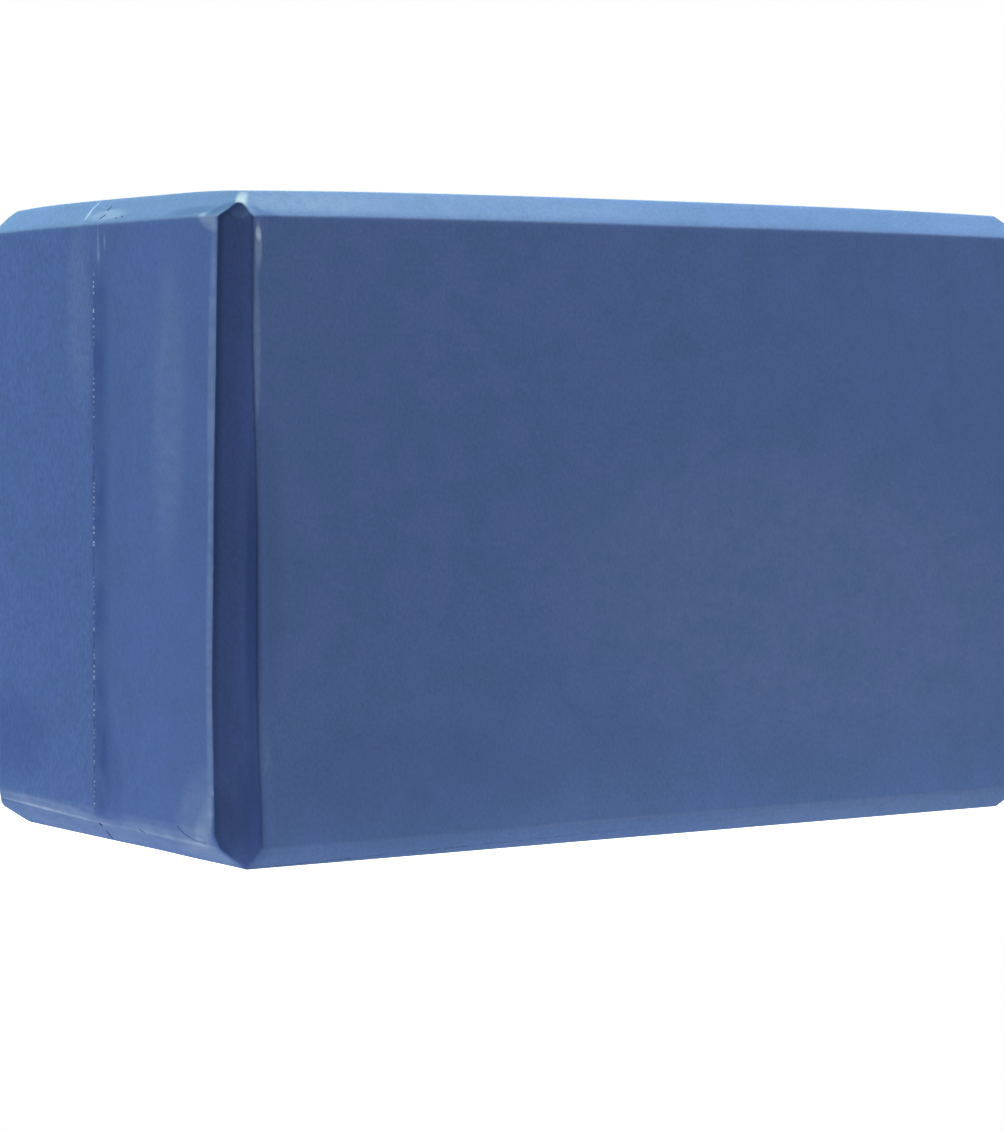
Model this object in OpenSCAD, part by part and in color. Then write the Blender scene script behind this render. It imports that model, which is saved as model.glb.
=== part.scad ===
// Laminated foam block: the brick that supports a hand or a hip in a floor exercise.
// Two slabs of closed-cell foam are glued face to face into one block. The block is
// then cut square, and all twelve of its outer edges are bevelled and rubbed soft.
// It stands on a long narrow side. The origin is at the middle of the face that it
// stands on: X runs along the length, Y from the front slab to the rear slab, Z up.

/* [Block] */
// Length of the block, along X
block_length = 229; // [150:0.5:300]
// Height of the block as it stands, along Z
block_height = 150; // [80:0.5:220]

/* [Slabs] */
// Thickness of the front slab, from the front face to the glue line
front_thickness = 66; // [25:0.5:110]
// Thickness of the rear slab, from the glue line to the rear face
rear_thickness = 59; // [25:0.5:110]

/* [Bevels] */
// How far the bevels round the top face reach in from each face
top_bevel = 6.2; // [3:0.1:12]
// How far the bevels round the bottom face reach in from each face
bottom_bevel = 6; // [3:0.1:12]
// How far the four upright bevels reach in from each face
upright_bevel = 7; // [3:0.1:12]
// Radius of the soft edge where a bevel meets a face
edge_radius = 2.5; // [0.5:0.1:4]

/* [Glue line] */
// Width of the fine groove that shows where the slabs meet
groove_width = 0.6; // [0.2:0.1:1.6]
// Depth of that groove
groove_depth = 0.4; // [0.1:0.1:1]

/* [Hidden] */
$fn = 96;

block_depth = front_thickness + rear_thickness;
front_y = -block_depth / 2;
rear_y = block_depth / 2;
glue_y = front_y + front_thickness;

// Distance from a bevel's corner to where its soft edge starts, on either side
edge_reach = edge_radius * tan(22.5);

// Corner of an outline that is bevelled at 45 degrees, as the polygon's points
// through the ends of its two soft edges. The square corner is at (x, y), and
// (sx, sy) points out of the outline there.
function bevel_points(x, y, sx, sy, bevel) = [
    [x - sx * (bevel + edge_reach), y],
    [x - sx * (bevel - edge_reach * cos(45)), y - sy * edge_reach * sin(45)],
    [x - sx * edge_reach * sin(45), y - sy * (bevel - edge_reach * cos(45))],
    [x, y - sy * (bevel + edge_reach)]
];

function backwards(points) = [for (i = [len(points) - 1 : -1 : 0]) points[i]];

// Round rods that fill out the two soft edges of one bevel
module soft_edges(x, y, sx, sy, bevel) {
    translate([x - sx * (bevel + edge_reach), y - sy * edge_radius])
        circle(r = edge_radius);
    translate([x - sx * edge_radius, y - sy * (bevel + edge_reach)])
        circle(r = edge_radius);
}

// Rectangle from the middle of its lower side, with its low and high corners bevelled
module bevelled_outline(width, height, low_bevel, high_bevel) {
    side = width / 2;
    polygon(concat(
        bevel_points(side, 0, 1, -1, low_bevel),
        backwards(bevel_points(side, height, 1, 1, high_bevel)),
        bevel_points(-side, height, -1, 1, high_bevel),
        backwards(bevel_points(-side, 0, -1, -1, low_bevel))
    ));
    for (s = [-1, 1]) {
        soft_edges(s * side, 0, s, -1, low_bevel);
        soft_edges(s * side, height, s, 1, high_bevel);
    }
}

// The whole block, cut back by the inset on every outer face
module block(inset = 0) {
    length = block_length - 2 * inset;
    depth = block_depth - 2 * inset;
    height = block_height - 2 * inset;
    translate([0, 0, inset])
        intersection() {
            rotate([90, 0, 0])
                linear_extrude(height = 2 * block_depth, center = true)
                    bevelled_outline(length, height, bottom_bevel, top_bevel);
            rotate([90, 0, 90])
                linear_extrude(height = 2 * block_length, center = true)
                    bevelled_outline(depth, height, bottom_bevel, top_bevel);
            linear_extrude(height = 2 * block_height, center = true)
                translate([0, -depth / 2])
                    bevelled_outline(length, depth, upright_bevel, upright_bevel);
        }
}

// Keeps only what lies between two depths
module between(y_low, y_high) {
    intersection() {
        children();
        translate([-block_length, y_low, -block_height])
            cube([2 * block_length, y_high - y_low, 3 * block_height]);
    }
}

module front_slab() {
    color([0.27, 0.36, 0.53]) {
        between(2 * front_y, glue_y - groove_width / 2)
            block();
        between(glue_y - groove_width / 2, glue_y)
            block(groove_depth);
    }
}

module rear_slab() {
    color([0.31, 0.41, 0.61]) {
        between(glue_y + groove_width / 2, 2 * rear_y)
            block();
        between(glue_y, glue_y + groove_width / 2)
            block(groove_depth);
    }
}

front_slab();
rear_slab();
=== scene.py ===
"""Foam yoga block: two slabs of blue EVA foam, glued into one brick and bevelled all round."""
import bpy, math
import numpy as np
from mathutils import Matrix, Vector, noise


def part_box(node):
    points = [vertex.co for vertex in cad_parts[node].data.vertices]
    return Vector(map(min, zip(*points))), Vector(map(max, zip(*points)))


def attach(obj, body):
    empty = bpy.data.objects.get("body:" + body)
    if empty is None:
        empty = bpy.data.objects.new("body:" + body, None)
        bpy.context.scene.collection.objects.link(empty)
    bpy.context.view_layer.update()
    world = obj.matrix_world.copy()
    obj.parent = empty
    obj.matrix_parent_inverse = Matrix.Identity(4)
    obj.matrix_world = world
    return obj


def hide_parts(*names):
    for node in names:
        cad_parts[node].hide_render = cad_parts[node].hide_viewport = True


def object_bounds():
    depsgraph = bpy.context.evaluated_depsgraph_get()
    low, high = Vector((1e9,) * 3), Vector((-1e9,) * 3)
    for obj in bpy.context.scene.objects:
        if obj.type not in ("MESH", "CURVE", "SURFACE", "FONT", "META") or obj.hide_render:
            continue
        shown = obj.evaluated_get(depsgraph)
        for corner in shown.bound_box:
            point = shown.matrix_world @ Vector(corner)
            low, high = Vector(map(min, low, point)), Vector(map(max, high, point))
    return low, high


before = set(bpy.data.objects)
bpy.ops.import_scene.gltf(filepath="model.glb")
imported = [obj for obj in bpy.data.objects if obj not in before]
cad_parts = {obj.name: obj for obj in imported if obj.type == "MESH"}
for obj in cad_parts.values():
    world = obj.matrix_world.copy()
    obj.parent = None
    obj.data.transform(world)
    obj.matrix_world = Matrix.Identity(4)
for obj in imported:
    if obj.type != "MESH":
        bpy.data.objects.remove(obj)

cad_box = [list(corner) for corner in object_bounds()]

# The glued block, before it is dressed as two slabs. The makers glue two slabs of EVA foam,
# saw the block square and trim its edges by hand, not quite evenly, so that it is kind to
# the palm. All sizes and places of the block are in mm, along the frame's axes.
MM = 0.001
low, high = (Vector(corner) / MM for corner in cad_box)
centre = (low + high) / 2
size = high - low
SOFT_EDGE = 0.45         # how far the rubbed edge of each trim reaches to either side
SHARP = 17               # degrees between faces, from which an edge is rubbed
# Each trim: the side of the block that it is on, as -1, 0 or 1 along X, Y and Z, and how far
# it reaches in from the square edge or corner, along each of those axes in turn
TRIMS = [
    ((-1, 1, 0), (7.0, 7.2)),
    ((1, -1, 0), (5.6, 5.2)),
    ((1, 1, 0), (7.0, 7.0)),
    ((0, -1, 1), (6.0, 6.1)),
    ((-1, 0, 1), (6.3, 6.2)),
    ((0, 1, 1), (6.2, 6.2)),
    ((1, 0, 1), (6.3, 6.0)),
    ((0, -1, -1), (3.8, 5.1)),
    ((-1, 0, -1), (5.3, 5.5)),
    ((0, 1, -1), (6.0, 5.7)),
    ((1, 0, -1), (6.2, 6.0)),
    ((-1, 0, -1), (2.5, 7.5)),           # the second, softer trim at the foot of the end
    ((-1, -1, 1), (13.6, 13.6, 6.4)),
    ((-1, 1, 1), (11, 11, 11)),
    ((1, -1, 1), (8.6, 8.6, 8.6)),
    ((1, 1, 1), (11, 11, 11)),
    ((-1, 1, -1), (11, 11, 11)),
    ((1, -1, -1), (8.8, 8.8, 8.8)),
    ((1, 1, -1), (11, 11, 11)),
    ((-1, 1, -1), (12, 28, 5)),
]
# The near upright edge was scooped out by hand with a gouge and not sawn flat. Each row: the
# height, and how far the scoop reaches in from the end and from the front there
GOUGE = [
    (-15, 7.2, 8.8), (0, 7.1, 8.9), (12, 6.9, 9.0), (22, 6.4, 9.2), (38, 6.0, 9.8),
    (79, 6.1, 8.6), (115, 5.2, 7.3), (137, 5.3, 6.5), (150, 5.2, 5.9), (165, 5.0, 5.4),
]
GOUGE_RADIUS = 19        # radius of the hollow that the gouge left
HEAD_SCOOP = (5.5, 12.0)     # half width and half height of the round dip where it went in


def select_only(*pieces):
    bpy.ops.object.select_all(action="DESELECT")
    for piece in pieces:
        piece.select_set(True)
    bpy.context.view_layer.objects.active = pieces[-1]


def cut_away(piece, tool):
    """Cuts a piece with a tool, which is used up."""
    modifier = piece.modifiers.new("difference", "BOOLEAN")
    modifier.operation = "DIFFERENCE"
    modifier.object = tool
    modifier.solver = "EXACT"
    modifier.material_mode = "TRANSFER"
    select_only(piece)
    bpy.ops.object.modifier_apply(modifier=modifier.name)
    bpy.data.objects.remove(tool)


def tube(name, places, radii):
    """A solid tube with closed ends, along places and with radii in mm."""
    line = bpy.data.curves.new(name, "CURVE")
    line.dimensions = "3D"
    line.bevel_depth = MM
    line.bevel_resolution = 32
    line.use_fill_caps = True
    path = line.splines.new("POLY")
    path.points.add(len(places) - 1)
    for point, place, radius in zip(path.points, places, radii):
        point.co = (*(Vector(place) * MM), 1)
        point.radius = radius
    made = bpy.data.objects.new(name, line)
    bpy.context.collection.objects.link(made)
    select_only(made)
    bpy.ops.object.convert(target="MESH")
    return bpy.context.object


bpy.ops.object.select_all(action="DESELECT")
bpy.ops.mesh.primitive_cube_add(size=1, location=centre * MM, scale=size * MM)
block = bpy.context.object
block.name = "glued_block"
bpy.ops.object.transform_apply(location=True, rotation=True, scale=True)
planes = []              # a point in mm and the outward normal of every flat cut
for side, reaches in TRIMS:
    axes = [axis for axis in range(3) if side[axis]]
    corner = centre + Vector([side[axis] * size[axis] / 2 for axis in range(3)])
    outward = Vector((0, 0, 0))
    for axis, reach in zip(axes, reaches):
        outward[axis] = side[axis] / reach
    corner[axes[0]] -= side[axes[0]] * reaches[0]
    planes.append((corner, outward.normalized()))
bpy.ops.object.mode_set(mode="EDIT")
for point, outward in planes:
    bpy.ops.mesh.select_all(action="SELECT")
    bpy.ops.mesh.bisect(plane_co=point * MM, plane_no=outward, use_fill=True, clear_outer=True)
bpy.ops.object.mode_set(mode="OBJECT")

gouge_axis = []
for z, from_end, from_front in GOUGE:
    chord = math.hypot(from_end, from_front)
    outward = Vector((-from_front, -from_end, 0)).normalized()
    middle = Vector((low.x + from_end / 2, low.y + from_front / 2, z))
    gouge_axis.append(middle + outward * math.sqrt(GOUGE_RADIUS ** 2 - chord ** 2 / 4))
cut_away(block, tube("gouge", gouge_axis, [GOUGE_RADIUS] * len(gouge_axis)))
bpy.ops.object.select_all(action="DESELECT")
bpy.ops.mesh.primitive_uv_sphere_add(
    segments=64, ring_count=48, radius=MM, location=(low.x * MM, low.y * MM, high.z * MM),
    scale=(HEAD_SCOOP[0], HEAD_SCOOP[0], HEAD_SCOOP[1]))
cut_away(block, bpy.context.object)

select_only(block)
bpy.ops.object.mode_set(mode="EDIT")
bpy.ops.mesh.select_mode(type="EDGE")
bpy.ops.mesh.select_all(action="DESELECT")
bpy.ops.mesh.edges_select_sharp(sharpness=math.radians(SHARP))
bpy.ops.mesh.bevel(offset=SOFT_EDGE * MM, offset_type="OFFSET", segments=3, profile=0.5)
bpy.ops.object.mode_set(mode="OBJECT")

# Torn places in the foam: slits and pits at the near end, where the glue or the knife tore
# it, and a hairline crack that closes up as it runs down to the near foot. They are cut into
# the block, and the foam inside them is coloured dark: the open cells where it tore, and
# painted shade for the depth of the hollows.
PITS = [    # from, to, half the width, and the depth
    ((-110.2, 2.1, 148.0), (-111.1, 2.1, 147.1), 0.26, 0.9),
    ((-112.4, 1.2, 145.9), (-113.3, 1.9, 145.0), 0.28, 0.8),
    ((-113.3, -8.6, 145.2), (-113.1, -8.0, 145.2), 0.15, 0.5),
    ((-113.5, -6.2, 144.8), (-113.3, -5.8, 145.1), 0.15, 0.5),
    ((-111.6, 2.9, 2.7), (-109.6, 2.9, 0.7), 0.3, 1.2),
    ((-113.4, 3.4, 4.1), (-113.1, 3.3, 3.8), 0.45, 0.7),
    ((-113.6, -16.0, 5.0), (-113.3, -18.6, 4.3), 0.13, 0.4),
]
CRACK = [    # each point, and half the crack's width there
    ((-114.5, -36.6, 8.0), 0.13), ((-114.4, -37.6, 7.2), 0.12), ((-114.0, -39.8, 6.1), 0.1),
    ((-113.8, -44.0, 5.3), 0.07), ((-113.7, -48.6, 5.1), 0.05),
]


def linear(hex_colour):
    """sRGB hex to the linear red, green, blue and alpha that a node takes."""
    parts = [int(hex_colour[i:i + 2], 16) / 255 for i in (0, 2, 4)]
    return [c / 12.92 if c <= 0.04045 else ((c + 0.055) / 1.055) ** 2.4 for c in parts] + [1]


# the dark colour inside the pits and the crack: open cells, with painted shade for their depth
torn_and_shaded = bpy.data.materials.new("torn_foam_painted_shade")
torn_and_shaded.use_nodes = True
shader = torn_and_shaded.node_tree.nodes["Principled BSDF"]
shader.inputs["Base Color"].default_value = linear("26345a")
shader.inputs["Roughness"].default_value = 1.0
shader.inputs["Specular IOR Level"].default_value = 0.0

bpy.ops.object.select_all(action="DESELECT")
cutters = []
for start, end, width, depth in PITS:
    start, end = Vector(start), Vector(end)
    along = (end - start).normalized()
    inward = Vector((1, 0, -1 if start.z > centre.z else 1))
    inward = (inward - along * inward.dot(along)).normalized()
    turn = Matrix((inward.cross(along), inward, along)).transposed().to_4x4()
    bpy.ops.mesh.primitive_uv_sphere_add(segments=16, ring_count=10, radius=1)
    cutter = bpy.context.object
    scale = Matrix.Diagonal((width, depth, (end - start).length / 2 + width, 1 / MM)) * MM
    cutter.matrix_world = Matrix.Translation((start + end) / 2 * MM) @ turn @ scale
    cutters.append(cutter)
cutters.append(tube("crack", *zip(*CRACK)))
for cutter in cutters:
    cutter.data.materials.clear()
    cutter.data.materials.append(torn_and_shaded)
select_only(*cutters)
bpy.ops.object.join()
bpy.ops.object.transform_apply(location=True, rotation=True, scale=True)
tool = bpy.context.object
# the block's first material slot is filled here, and takes each slab's own foam further down
block.data.materials.append(bpy.data.materials.new("foam_to_dress"))
cut_away(block, tool)

# The two slabs of closed-cell EVA foam, glued face to face, so that the block is divided at
# the glue line. The front slab is the thicker one. The glue line leans a little, as the
# slabs were glued not quite square, and the foam along it is squeezed in.
GLUE_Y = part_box("front_slab")[1][1] / MM
GLUE_LIP = 0.3           # how far to either side of the glue line the foam is squeezed in
GLUE_LEAN = 0.0093       # how far the line leans forward for each mm that it rises
GRID = 1.5               # spacing of the mesh lines that let the foam bow
upright_glue = Vector((0, 1, GLUE_LEAN))
cuts = [(upright_glue, Vector((0, GLUE_Y + lip, centre.z))) for lip in (-GLUE_LIP, 0, GLUE_LIP)]
for axis in range(3):
    steps = round(size[axis] / GRID)
    across = Vector((axis == 0, axis == 1, axis == 2))
    places = [low[axis] + size[axis] * i / steps for i in range(1, steps)]
    if axis == 1:        # a cut across the leaning glue line would leave slivers
        places = [place for place in places if abs(place - GLUE_Y) > GRID / 2]
    cuts += [(across, across * place) for place in places]
select_only(block)
bpy.ops.object.mode_set(mode="EDIT")
for across, place in cuts:
    bpy.ops.mesh.select_all(action="SELECT")
    bpy.ops.mesh.bisect(plane_co=place * MM, plane_no=across)
bpy.ops.object.mode_set(mode="OBJECT")

slabs = {}
for name in ("front", "rear"):
    select_only(block)
    bpy.ops.object.duplicate()
    slab = bpy.context.object
    slab.name = name + "_slab_foam"
    bpy.ops.object.mode_set(mode="EDIT")
    bpy.ops.mesh.select_all(action="SELECT")
    bpy.ops.mesh.bisect(
        plane_co=Vector((0, GLUE_Y, centre.z)) * MM, plane_no=upright_glue, use_fill=True,
        clear_outer=name == "front", clear_inner=name == "rear")
    bpy.ops.object.mode_set(mode="OBJECT")
    slabs[name] = slab
bpy.data.objects.remove(block)

# The foam has moved since it was sawn: the top was crowned as its corners were pressed
# down for trimming, the end has sunk in beside the glue, the foot of the near end has
# crept out, and no face is quite flat. All of it lies inside the sawn block.
NEAR_END = 9             # the near end's face and its trims lie within this reach
TOP_CORNER_DROP = 1.6    # how far the corners of the top have gone down
MIDDLE_DROP = 0.12       # share of that drop at the middle of each end
DROP_HEIGHT = 5          # how far below the top the drop has halved
FOOT_CREEP = 1.1         # how far the far part of the near end's foot has crept out
CREEP_HEIGHT = 5         # how high the creep reaches
CREEP_FROM = -50         # the place along Y where the creep sets in
CREEP_RUN = (85, 12)     # over how far it grows, and over how far it ends at the rear face
GLUE_DISH = 0.35         # how far the end has sunk in beside the glue line
DISH_WIDTH = 40          # how far the dish reaches in front of the glue line
DISH_REACH = 8           # how far the dish reaches in from the near end
HOLLOWS = 0.12           # how deep the hollows of the faces are
RIPPLES = 0.05           # how deep the finer ripples in them are
HOLLOW_SIZE = 34         # size of the hollows; the ripples are a sixth and the lip a ninth of it
LEVEL_SHARE = 0.3        # share of the hollows that the top and the bottom face have
FLATNESS = 15            # the greater, the closer to an edge the push turns to the next face's
LIP_DEPTH = 0.15         # how far the foam is squeezed in at the glue line itself
LIP_CLOSED = 132         # the height above which the line is nearly closed on the near end
CLOSED_SHARE = 0.2       # share of the lip's depth that is left there
ON_GLUE = 0.01           # points as close as this to the glue line lie on it
ON_GOUGE = 0.08          # points as close as this to the gouge's hollow lie in it
ON_HEAD = 0.02           # points as close as this share of its size to the head's dip lie in it
SMOOTH = 30              # degrees between faces, up to which the shading is smooth
# every flat face of the block, trims and sawn sides, and the line that the gouge swung round
every_plane = planes + [(low, Vector(n)) for n in ((-1, 0, 0), (0, -1, 0), (0, 0, -1))]
every_plane += [(high, Vector(n)) for n in ((1, 0, 0), (0, 1, 0), (0, 0, 1))]
gouge_x, gouge_y, gouge_z = np.array(gouge_axis).T
for name, slab in slabs.items():
    mesh = slab.data
    flat = np.empty(len(mesh.vertices) * 3)
    mesh.vertices.foreach_get("co", flat)
    sawn = flat.reshape(-1, 3) / MM
    moved = sawn.copy()
    for vertex, (x, y, z) in enumerate(sawn):
        u, v, w = ((x, y, z) - np.array(centre)) / np.array(size / 2)
        below_top = (high.z - z) / DROP_HEIGHT
        sag = TOP_CORNER_DROP * abs(u) ** 3 * (MIDDLE_DROP + (1 - MIDDLE_DROP) * v ** 4)
        sag /= 1 + below_top ** 2
        creep = 0
        if x < low.x + NEAR_END and z < CREEP_HEIGHT:
            grown = min(1, (y - CREEP_FROM) / CREEP_RUN[0], (high.y - y) / CREEP_RUN[1])
            creep = FOOT_CREEP * max(0, grown) * (1 - z / CREEP_HEIGHT)
            creep = min(creep, x - low.x)
        before_glue = GLUE_Y - GLUE_LEAN * (z - centre.z) - y
        dish = 0
        if 0 < before_glue < DISH_WIDTH and x < low.x + DISH_REACH:
            dish = GLUE_DISH * math.sin(math.pi * before_glue / DISH_WIDTH) ** 2
        place = Vector((x, y, z)) / HOLLOW_SIZE
        hollow = HOLLOWS * (0.5 + 0.5 * noise.noise(place))
        hollow += RIPPLES * (0.5 + 0.5 * noise.noise(place * 6))
        if abs(before_glue) < ON_GLUE:
            closed = CLOSED_SHARE if x < low.x + NEAR_END and z > LIP_CLOSED else 1
            hollow += closed * LIP_DEPTH * (0.6 + noise.noise(place * 9))
        towards = Vector((-u ** FLATNESS, -v ** FLATNESS, -LEVEL_SHARE * w ** FLATNESS))
        moved[vertex] += Vector((dish - creep, 0, -sag)) + towards * hollow
    # the wear, the painted highlights on the rubbed edges and the painted shade in the gouge follow
    # two attributes: how far each point is from the nearest rubbed edge, in mm, and whether it lies
    # in the gouge's hollow or in the dip at its head
    depths = [-(sawn - np.array(point)) @ np.array(outward) for point, outward in every_plane]
    from_x, from_y = (sawn[:, axis] - np.interp(sawn[:, 2], gouge_z, line)
                      for axis, line in enumerate((gouge_x, gouge_y)))
    depths.append(np.hypot(from_x, from_y) - GOUGE_RADIUS)
    edge_mm = np.sort(np.abs(depths), axis=0)[1] * math.sqrt(2)
    mesh.attributes.new("edge_mm", "FLOAT", "POINT").data.foreach_set("value", edge_mm)
    from_head = np.hypot(sawn[:, 0] - low.x, sawn[:, 1] - low.y) / HEAD_SCOOP[0]
    from_head = np.hypot(from_head, (sawn[:, 2] - high.z) / HEAD_SCOOP[1])
    in_head = np.abs(from_head - 1) < ON_HEAD
    gouged = ((np.abs(depths[-1]) < ON_GOUGE) | in_head).astype(float)
    mesh.attributes.new("gouged", "FLOAT", "POINT").data.foreach_set("value", gouged)
    mesh.vertices.foreach_set("co", (moved * MM).ravel())
    mesh.update()
    select_only(slab)
    bpy.ops.object.shade_smooth_by_angle(angle=math.radians(SMOOTH))
    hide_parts(name + "_slab")
    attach(slab, "root")


def add(tree, kind, inputs=None, **settings):
    """Adds a shader node with its settings; an input is a constant or another node's output.

    Inputs go by name or by place. Those of a MapRange from 1 to 4 are the two ends of the
    range that comes in and the two ends of the one that goes out, 0 and 1 if not given.
    """
    made = tree.nodes.new("ShaderNode" + kind)
    for name, value in settings.items():
        setattr(made, name, value)
    for key, value in (inputs or {}).items():
        if isinstance(value, bpy.types.NodeSocket):
            tree.links.new(value, made.inputs[key])
        else:
            made.inputs[key].default_value = value
    return made


# Closed-cell EVA foam, cut with a blade: matt, because the cut cells trap the shine, and
# faintly mottled. Rubbed edges, scuffs and glue go pale, with painted highlights on some
# ridges and painted light on the front face; painted shade darkens the gouge, the faces
# beside it and the end in front of the glue line; the glue line is dark; and the freshly
# gouged edge is a deeper blue. Lengths are in mm.
FOAM = linear("44587e")
FRESHLY_CUT = linear("435789")
# the pale colour: scuffs, rubbed edges and glue, and also painted highlights and painted light
PALE_SCUFF_AND_HIGHLIGHT = linear("8c99a8")
# the dark colour: mostly painted shade, and the dark glue line
DARK_AND_PAINTED_SHADE = linear("2a3a62")
BLOTCH_SIZE = 11         # size of the soft blotches
BLOTCH_TONE = 0.34       # how much lighter the foam is in the palest blotch than in the darkest
BLOTCH_HUE = 0.02        # how much its hue differs between them
GRAIN = {"front": (0.65, 0.09), "rear": (0.85, 0.13)}    # size and strength of the fine flecks
GRAIN_STRETCH = 0.65     # width of a fleck as a share of its height
BUMP_HEIGHT = 0.1        # height of the flecks in the surface
RAGGED_SIZE = 2.5        # size of the breaks in the pale marks
TRIM_HEIGHT = (5, 8)     # how far from the top or bottom the trims end and the end's face is full
LINE_OPEN = (136.0, 128.0)   # heights between which the glue line opens below the closed part
INBOARD = (-108.0, -105.0)   # places along X between which the near end's trims are left behind
LINE_WIDTH = (0.5, 0.2)  # how far from the glue line its look fades in
SEAM_DARK = -0.17        # how dark the glue line is between its beads
BEAD_SPACING = 1.25      # spacing of the beads of glue
BEAD_EDGE = (0.28, 0.12)     # edge of a bead, as a share of their spacing
CLUMP_SIZE = 8           # spacing of the runs of beads
# Each mark is a long soft ellipsoid: from, to, half width, and how pale it is, or how
# dark, below 0. Besides scuffs, flecks and glue, some are painted highlights, painted light
# and painted shade, as said beside them
MARKS = [
    ((-114.5, -54.6, 140), (-114.5, -52.4, 80), 2.7, 0.16),      # rim of the gouge on the end
    ((-114.5, -52.4, 78), (-114.5, -51.9, 14), 2.7, 0.16),
    ((-114.3, -47, 6), (-114.5, -51, 12), 4.5, 0.16),
    ((-114.4, 62, 6.7), (-114.4, 3, 5.5), 1.9, 0.2),             # edge of the end's foot: scuffs, and a painted highlight along its ridge
    ((-114.4, 3, 5.5), (-114.3, -50, 5.4), 1.9, 0.15),
    ((-113.6, 61, 5.8), (-113.6, 3, 4.5), 0.5, 0.35),
    ((-113.6, 3, 4.5), (-113.5, -53, 4.5), 0.7, 0.14),
    ((-111.8, 60, 2.8), (-111.8, -54, 2.8), 4.5, 0.09),          # trim at the end's foot: scuffs, and painted light from the table below
    ((-111.8, -38, 2.8), (-111.5, -54, 2.6), 4.5, 0.1),
    ((-112.6, 6, 145.8), (-112.4, -6, 146), 2.6, 0.15),          # smears of glue on the top trim
    ((-108.9, 10.8, 149.3), (-110.6, 11.1, 147.7), 0.6, 0.35),
    ((-110.8, 11, 147.5), (-113, 9.9, 145.3), 0.7, 0.4),
    ((-113.4, -34, 145), (-112.8, -50, 145.6), 1.9, -0.35),      # top trim near its corner
    ((-114.4, -53.9, 15.8), (-114.5, -53.2, 16.8), 0.7, 0.25),   # fleck on the gouge's rim
    ((-110.6, -59.4, 146.6), (-109, -56.8, 149.4), 2.4, 0.42),   # painted highlight on the ridge at the near top corner
    ((-107.8, -62.5, 141), (-107.7, -62.5, 133), 1.2, 0.26),     # rim of the gouge on the front: scuffs, and a painted highlight along it
    ((-107.8, -62.5, 140.5), (-107.7, -62.5, 138.5), 0.9, 0.5),
    ((-108.4, -62.5, 132), (-108.3, -62.5, 98), 1.4, 0.14),
    ((-107.8, -62.5, 90), (-106.5, -62.5, 14), 2.4, 0.05),
    ((-112, -59.5, 147), (0, -59.5, 147), 5.5, 0.05),            # trims of the front face
    ((-112, -59.5, 147), (-78, -59.5, 147), 5.5, 0.04),
    ((20, -60.5, 2.5), (108, -60.5, 2.5), 4.5, 0.04),
    ((-107.2, -62.3, 144.3), (-104.2, -62.4, 143.4), 1.9, -0.3),   # painted shade beside the gouge's head, and a paler patch on the end below it
    ((-108.1, -60.9, 145.8), (-106.9, -61.7, 145.1), 1.3, -0.5),
    ((-113.8, -52, 144.6), (-112.2, -57, 146.5), 2.4, -0.5),
    ((-114.5, -49, 143.5), (-114.5, -54.5, 141.5), 2.4, 0.3),
    ((-109.5, -61.5, -2), (-110, -61, 20), 5.5, -0.35),          # painted shade at the foot of the gouge
    ((-98, -62.5, 14), (-50, -62.5, 16), 22, -0.15),             # painted shade at the foot of the front face
    ((-109.4, -61.3, 85), (-109.2, -61.2, 22), 2.8, -0.42),      # painted shade on the front side of the gouge
    ((-113.3, -55.5, 14), (-113, -56, 4), 4.5, -0.3),            # painted shade on the end side of its foot
    ((-106, -62.5, 95), (-106, -62.5, 38), 6, -0.2),             # painted shade on the front face beside the gouge, paler below it
    ((-105.6, -62.5, 28), (-105.6, -62.5, 10), 2, 0.08),
    ((-114.5, -34, 125), (-114.5, -32, 75), 10, 0.07),           # broad patches on the end
    ((-114.5, 52, 22), (-114.5, 40, 22), 14, -0.24),
    ((-114.5, -43, 10), (-114.5, -50, 16), 9, 0.1),
    ((-114.5, 0.7, 142), (-114.5, 0.5, 134), 0.9, 0.2),          # runs of glue below the top trim
    ((-114.5, -2.4, 141), (-114.5, -2.6, 138), 0.7, 0.2),
    ((-114.5, -3, 25), (-114.5, -6, 12), 6, -0.22),              # patches beside the glue line
    ((-114.5, 11, 138), (-114.5, 10, 108), 8, 0.06),
    ((10, -62.5, 60), (85, -62.5, 50), 48, 0.045),               # painted light on the middle of the front face
]
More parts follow.
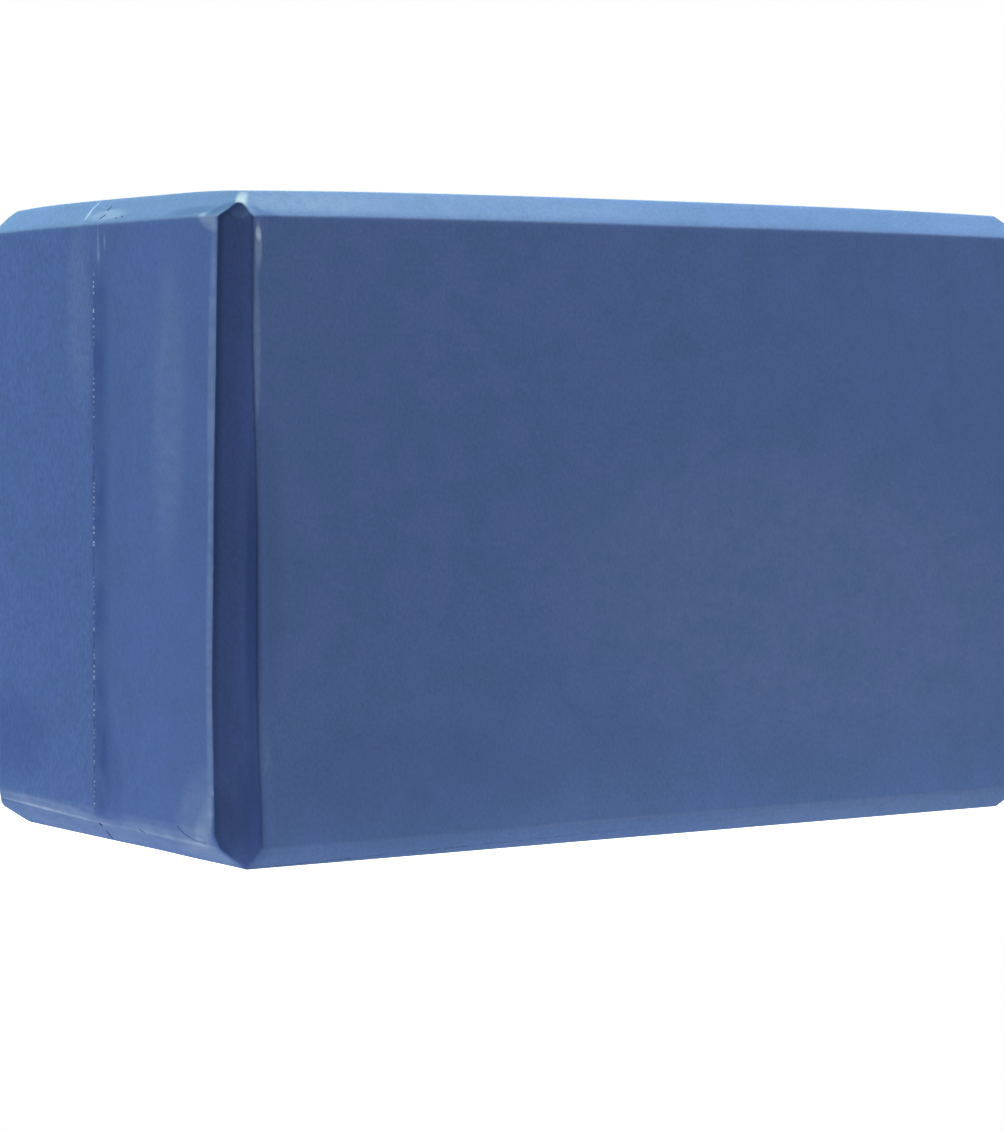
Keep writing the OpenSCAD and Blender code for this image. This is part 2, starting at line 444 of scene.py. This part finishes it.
for name, slab in slabs.items():
    mat = bpy.data.materials.new(name + "_eva_foam")
    mat.use_nodes = True
    tree = mat.node_tree
    shader = tree.nodes["Principled BSDF"]
    place = add(tree, "TexCoord").outputs["Object"]
    place = add(tree, "VectorMath", {0: place, "Scale": 1 / MM}, operation="SCALE").outputs[0]
    split = add(tree, "SeparateXYZ", {0: place}).outputs
    # large soft blotches and fine upright flecks
    grain_size, grain_depth = GRAIN[name]
    blotch = add(tree, "TexNoise", {"Vector": place, "Scale": 1 / BLOTCH_SIZE, "Detail": 4.0,
                                    "Roughness": 0.75}).outputs["Fac"]
    stretched = add(tree, "VectorMath", {0: place, 1: (1, 1, GRAIN_STRETCH)},
                    operation="MULTIPLY").outputs[0]
    fleck = add(tree, "TexNoise", {"Vector": stretched, "Scale": 1 / grain_size,
                                   "Detail": 2.0}).outputs["Fac"]
    tone = add(tree, "Math", {0: blotch, 1: BLOTCH_TONE, 2: 1 - BLOTCH_TONE / 2 - 2 * grain_depth},
               operation="MULTIPLY_ADD").outputs[0]
    tone = add(tree, "Math", {0: fleck, 1: 4 * grain_depth, 2: tone},
               operation="MULTIPLY_ADD").outputs[0]
    hue = add(tree, "Math", {0: blotch, 1: BLOTCH_HUE, 2: 0.5 - BLOTCH_HUE / 2},
              operation="MULTIPLY_ADD").outputs[0]
    cut = add(tree, "Attribute", attribute_name="gouged").outputs["Fac"]
    foam = add(tree, "Mix", {"Factor": cut, "A": FOAM, "B": FRESHLY_CUT},
               data_type="RGBA").outputs[2]
    foam = add(tree, "HueSaturation", {"Hue": hue, "Value": tone, "Color": foam}).outputs[0]
    # the rubbed edges, pale from wear and from a painted highlight along them, and the marks; the
    # pale ones are ragged and spare the gouge
    edge = add(tree, "Attribute", attribute_name="edge_mm").outputs["Fac"]
    edge_scuffs_and_highlight = add(tree, "MapRange", {"Value": edge, 1: 0.5, 2: 0.0, 3: 0.0, 4: 0.08}).outputs[0]
    sums = {"pale": edge_scuffs_and_highlight, "dark": 0.0}
    for start, end, width, amount in MARKS:
        if min(start[1], end[1]) < GLUE_Y if name == "front" else max(start[1], end[1]) > GLUE_Y:
            start, end = Vector(start), Vector(end)
            turn = (end - start).to_track_quat("Z", "Y").to_euler()
            half = 0.7 * (end - start).length + width    # it fades out past its two ends
            local = add(tree, "Mapping", {"Vector": place, "Location": (start + end) / 2,
                                          "Rotation": turn, "Scale": (width, width, half)},
                        vector_type="TEXTURE").outputs[0]
            mark = add(tree, "TexGradient", {0: local}, gradient_type="SPHERICAL").outputs["Fac"]
            mark = add(tree, "MapRange", {"Value": mark, 1: 0.0, 2: 0.6, 3: 0.0, 4: amount},
                       interpolation_type="SMOOTHSTEP").outputs[0]
            kind = "pale" if amount > 0 else "dark"
            sums[kind] = add(tree, "Math", {0: mark, 1: sums[kind]}, operation="ADD").outputs[0]
    spared = add(tree, "Math", {0: 1.0, 1: cut}, operation="SUBTRACT").outputs[0]
    ragged = add(tree, "VectorMath", {0: place, 1: (1, 0.35, 1)}, operation="MULTIPLY").outputs[0]
    ragged = add(tree, "TexNoise", {"Vector": ragged, "Scale": 1 / RAGGED_SIZE,
                                    "Detail": 4.0}).outputs["Fac"]
    ragged = add(tree, "MapRange", {"Value": ragged, 1: 0.3, 2: 0.7, 3: 0.6, 4: 1.4}).outputs[0]
    spared = add(tree, "Math", {0: spared, 1: ragged}, operation="MULTIPLY").outputs[0]
    wear_and_painted_light = add(tree, "Math", {0: sums["pale"], 1: spared, 2: sums["dark"]},
               operation="MULTIPLY_ADD").outputs[0]
    # painted shade on the rim inside the gouge, fainter low down and on the side away from the end
    rim_shade = add(tree, "MapRange", {"Value": edge, 1: 1.9, 2: 0.3, 3: 0.0, 4: -0.7}).outputs[0]
    upper = add(tree, "MapRange", {"Value": split["Z"], 1: 35.0, 2: 60.0,
                                   3: 0.55, 4: 1.0}).outputs[0]
    rim_shade = add(tree, "Math", {0: rim_shade, 1: upper}, operation="MULTIPLY").outputs[0]
    side = add(tree, "MapRange", {"Value": split["X"], 1: -112.6, 2: -110.6,
                                  3: 1.0, 4: 0.15}).outputs[0]
    rim_shade = add(tree, "Math", {0: rim_shade, 1: side}, operation="MULTIPLY").outputs[0]
    wear_and_painted_light = add(tree, "Math", {0: rim_shade, 1: cut, 2: wear_and_painted_light}, operation="MULTIPLY_ADD").outputs[0]
    # where the glue line shows: how far off it a point is, and the parts of it that are open
    off_glue = add(tree, "VectorMath", {0: place, 1: upright_glue},
                   operation="DOT_PRODUCT").outputs["Value"]
    off_glue = add(tree, "Math", {0: off_glue, 1: GLUE_Y + GLUE_LEAN * centre.z},
                   operation="SUBTRACT").outputs[0]
    level = add(tree, "Math", {0: split["Z"], 1: centre.z}, operation="SUBTRACT").outputs[0]
    level = add(tree, "Math", {0: level}, operation="ABSOLUTE").outputs[0]
    on_face = add(tree, "MapRange", {"Value": level, 1: size.z / 2 - TRIM_HEIGHT[0],
                                     2: size.z / 2 - TRIM_HEIGHT[1]}).outputs[0]
    lower = add(tree, "MapRange", {"Value": split["Z"], 1: LINE_OPEN[0],
                                   2: LINE_OPEN[1]}).outputs[0]
    inboard = add(tree, "MapRange", {"Value": split["X"], 1: INBOARD[0],
                                     2: INBOARD[1]}).outputs[0]
    if name == "front":    # painted shade on the end in front of the glue line, deepening the dish there
        dish_shade = add(tree, "MapRange", {"Value": off_glue, 1: -8.5, 2: -4.0,
                                         3: 0.0, 4: -0.4}).outputs[0]
        uneven = add(tree, "MapRange", {"Value": blotch, 1: 0.35, 2: 0.65,
                                        3: 0.4, 4: 1.5}).outputs[0]
        dish_shade = add(tree, "Math", {0: dish_shade, 1: uneven}, operation="MULTIPLY").outputs[0]
        dish_shade = add(tree, "Math", {0: dish_shade, 1: lower}, operation="MULTIPLY").outputs[0]
        wear_and_painted_light = add(tree, "Math", {0: dish_shade, 1: on_face, 2: wear_and_painted_light},
                   operation="MULTIPLY_ADD").outputs[0]
    # the glue line: a fine dark seam with beads of pale glue here and there
    near_glue = add(tree, "Math", {0: off_glue}, operation="ABSOLUTE").outputs[0]
    near_glue = add(tree, "MapRange", {"Value": near_glue, 1: LINE_WIDTH[0],
                                       2: LINE_WIDTH[1]}).outputs[0]
    seen = add(tree, "Math", {0: on_face, 1: inboard}, operation="MAXIMUM").outputs[0]
    near_glue = add(tree, "Math", {0: near_glue, 1: seen}, operation="MULTIPLY").outputs[0]
    open_line = add(tree, "Math", {0: lower, 1: inboard}, operation="MAXIMUM").outputs[0]
    near_glue = add(tree, "Math", {0: near_glue, 1: open_line}, operation="MULTIPLY").outputs[0]
    along = add(tree, "VectorMath", {0: place, 1: (0.6, 0, 1)},
                operation="DOT_PRODUCT").outputs["Value"]
    bead = add(tree, "TexVoronoi", {"W": along, "Scale": 1 / BEAD_SPACING},
               voronoi_dimensions="1D").outputs["Distance"]
    bead = add(tree, "MapRange", {"Value": bead, 1: BEAD_EDGE[0], 2: BEAD_EDGE[1]}).outputs[0]
    clump = add(tree, "TexNoise", {"W": along, "Scale": 1 / CLUMP_SIZE},
                noise_dimensions="1D").outputs["Fac"]
    clump = add(tree, "MapRange", {"Value": clump, 1: 0.4, 2: 0.62, 3: 0.0, 4: 1.3}).outputs[0]
    seam = add(tree, "Math", {0: bead, 1: clump, 2: SEAM_DARK},
               operation="MULTIPLY_ADD").outputs[0]
    wear_and_painted_light = add(tree, "Math", {0: seam, 1: near_glue, 2: wear_and_painted_light},
               operation="MULTIPLY_ADD").outputs[0]
    # wear, glue, painted light and painted shade, summed, go pale above 0 and dark below it
    pale = add(tree, "Math", {0: wear_and_painted_light, 1: 1.0}, operation="MULTIPLY", use_clamp=True).outputs[0]
    foam = add(tree, "Mix", {"Factor": pale, "A": foam, "B": PALE_SCUFF_AND_HIGHLIGHT},
               data_type="RGBA").outputs[2]
    dark = add(tree, "Math", {0: wear_and_painted_light, 1: -1.0}, operation="MULTIPLY", use_clamp=True).outputs[0]
    foam = add(tree, "Mix", {"Factor": dark, "A": foam, "B": DARK_AND_PAINTED_SHADE},
               data_type="RGBA").outputs[2]
    bump = add(tree, "Bump", {"Height": fleck, "Strength": 0.25,
                              "Distance": BUMP_HEIGHT * MM}).outputs[0]
    tree.links.new(foam, shader.inputs["Base Color"])
    tree.links.new(bump, shader.inputs["Normal"])
    shader.inputs["Roughness"].default_value = 0.95
    shader.inputs["Specular IOR Level"].default_value = 0.0
    slab.data.materials[0] = mat

# The ground that the photo burns out to white, taken as a plain white table that glows
# evenly and casts no shadow. Close round the block it glows brighter: painted light, which
# stands in for the light that the table throws back onto the lower trims. Lengths are in metres.
TABLE_SIZE = 12
GLOW = 1.1               # how much brighter the table is at the block's foot
GLOW_FADE = 0.03         # how far from the foot that glow has faded to about a third
GLOW_SHIFT = 0.006       # how far the glow is set off along X
bpy.ops.object.select_all(action="DESELECT")
bpy.ops.mesh.primitive_plane_add(size=TABLE_SIZE, location=(0, 0, 0))
table = bpy.context.object
table.name = "lit_white_table"
mat = bpy.data.materials.new("white_table_glow")
mat.use_nodes = True
tree = mat.node_tree
shader = tree.nodes["Principled BSDF"]
shader.inputs["Base Color"].default_value = (0, 0, 0, 1)
shader.inputs["Specular IOR Level"].default_value = 0
shader.inputs["Emission Color"].default_value = (1, 1, 1, 1)
apart = add(tree, "TexCoord").outputs["Object"]
apart = add(tree, "VectorMath", {0: apart, 1: (GLOW_SHIFT, 0, 0)}, operation="SUBTRACT").outputs[0]
apart = add(tree, "VectorMath", {0: apart}, operation="ABSOLUTE").outputs[0]
apart = add(tree, "VectorMath", {0: apart, 1: (size.x / 2 * MM, size.y / 2 * MM, 0)},
            operation="SUBTRACT").outputs[0]
apart = add(tree, "VectorMath", {0: apart, 1: (0, 0, 0)}, operation="MAXIMUM").outputs[0]
apart = add(tree, "VectorMath", {0: apart}, operation="LENGTH").outputs["Value"]
faded = add(tree, "Math", {0: apart, 1: -1 / GLOW_FADE}, operation="MULTIPLY").outputs[0]
faded = add(tree, "Math", {0: faded}, operation="EXPONENT").outputs[0]
# the even white, with the painted glow round the foot added
glow = add(tree, "Math", {0: faded, 1: GLOW, 2: 1.0}, operation="MULTIPLY_ADD").outputs[0]
tree.links.new(glow, shader.inputs["Emission Strength"])
table.data.materials.append(mat)

# The studio: a backdrop that is white to the camera and gives no light, and three softboxes
# whose places, powers and colours are fitted to the shades of the photo
world = bpy.data.worlds.new("pale_studio")
world.use_nodes = True
backdrop = world.node_tree.nodes["Background"]
backdrop.inputs["Color"].default_value = (1, 1, 1, 1)
rays = add(world.node_tree, "LightPath")
world.node_tree.links.new(rays.outputs["Is Camera Ray"], backdrop.inputs["Strength"])
bpy.context.scene.world = world
bpy.context.scene.view_settings.view_transform = "Standard"

LAMPS = [    # name, place and width in metres, power in watts, and colour
    ("overhead_softbox", (-0.045, 0.120, 0.789), 0.4, 20.3, (0.88, 0.98, 0.66)),
    ("left_rear_softbox", (-1.15, 1.64, 0.4), 1.2, 88.5, (0.66, 0.79, 1.0)),
    ("right_softbox", (1.440, -0.524, 1.386), 1.2, 104, (0.86, 0.89, 1.0)),
]
for name, place, width, power, colour in LAMPS:
    bpy.ops.object.light_add(type="AREA", location=place)
    lamp = bpy.context.object
    lamp.name = name
    lamp.data.shape = "SQUARE"
    lamp.data.size = width
    lamp.data.energy = power
    lamp.data.color = colour
    lamp.rotation_euler = (centre * MM - Vector(place)).to_track_quat("-Z", "Y").to_euler()

# The photo's camera, from a pinhole fit to the block's edges
YAW = math.radians(33.473)     # how far it stands to the left of the front face's normal
PITCH = math.radians(2.864)    # how far it looks down
DISTANCE = 0.89643             # from the middle of the block, in metres
LEFT, DOWN = 0.00256, 0.01345  # how far it is set off from there, in metres
FOCAL_PX = 3599.0
PHOTO_HEIGHT = 1132            # in pixels
SENSOR = 36                    # in mm
back = Vector((-math.sin(YAW) * math.cos(PITCH), -math.cos(YAW) * math.cos(PITCH), math.sin(PITCH)))
right = Vector((math.cos(YAW), -math.sin(YAW), 0))
up = back.cross(right)
bpy.ops.object.camera_add(location=centre * MM + back * DISTANCE - right * LEFT - up * DOWN)
camera = bpy.context.object
camera.rotation_mode = "QUATERNION"
camera.rotation_quaternion = (-back).to_track_quat("-Z", "Y")
camera.data.sensor_width = SENSOR
camera.data.lens = FOCAL_PX / PHOTO_HEIGHT * SENSOR
camera.data.clip_end = 50
bpy.context.scene.camera = camera
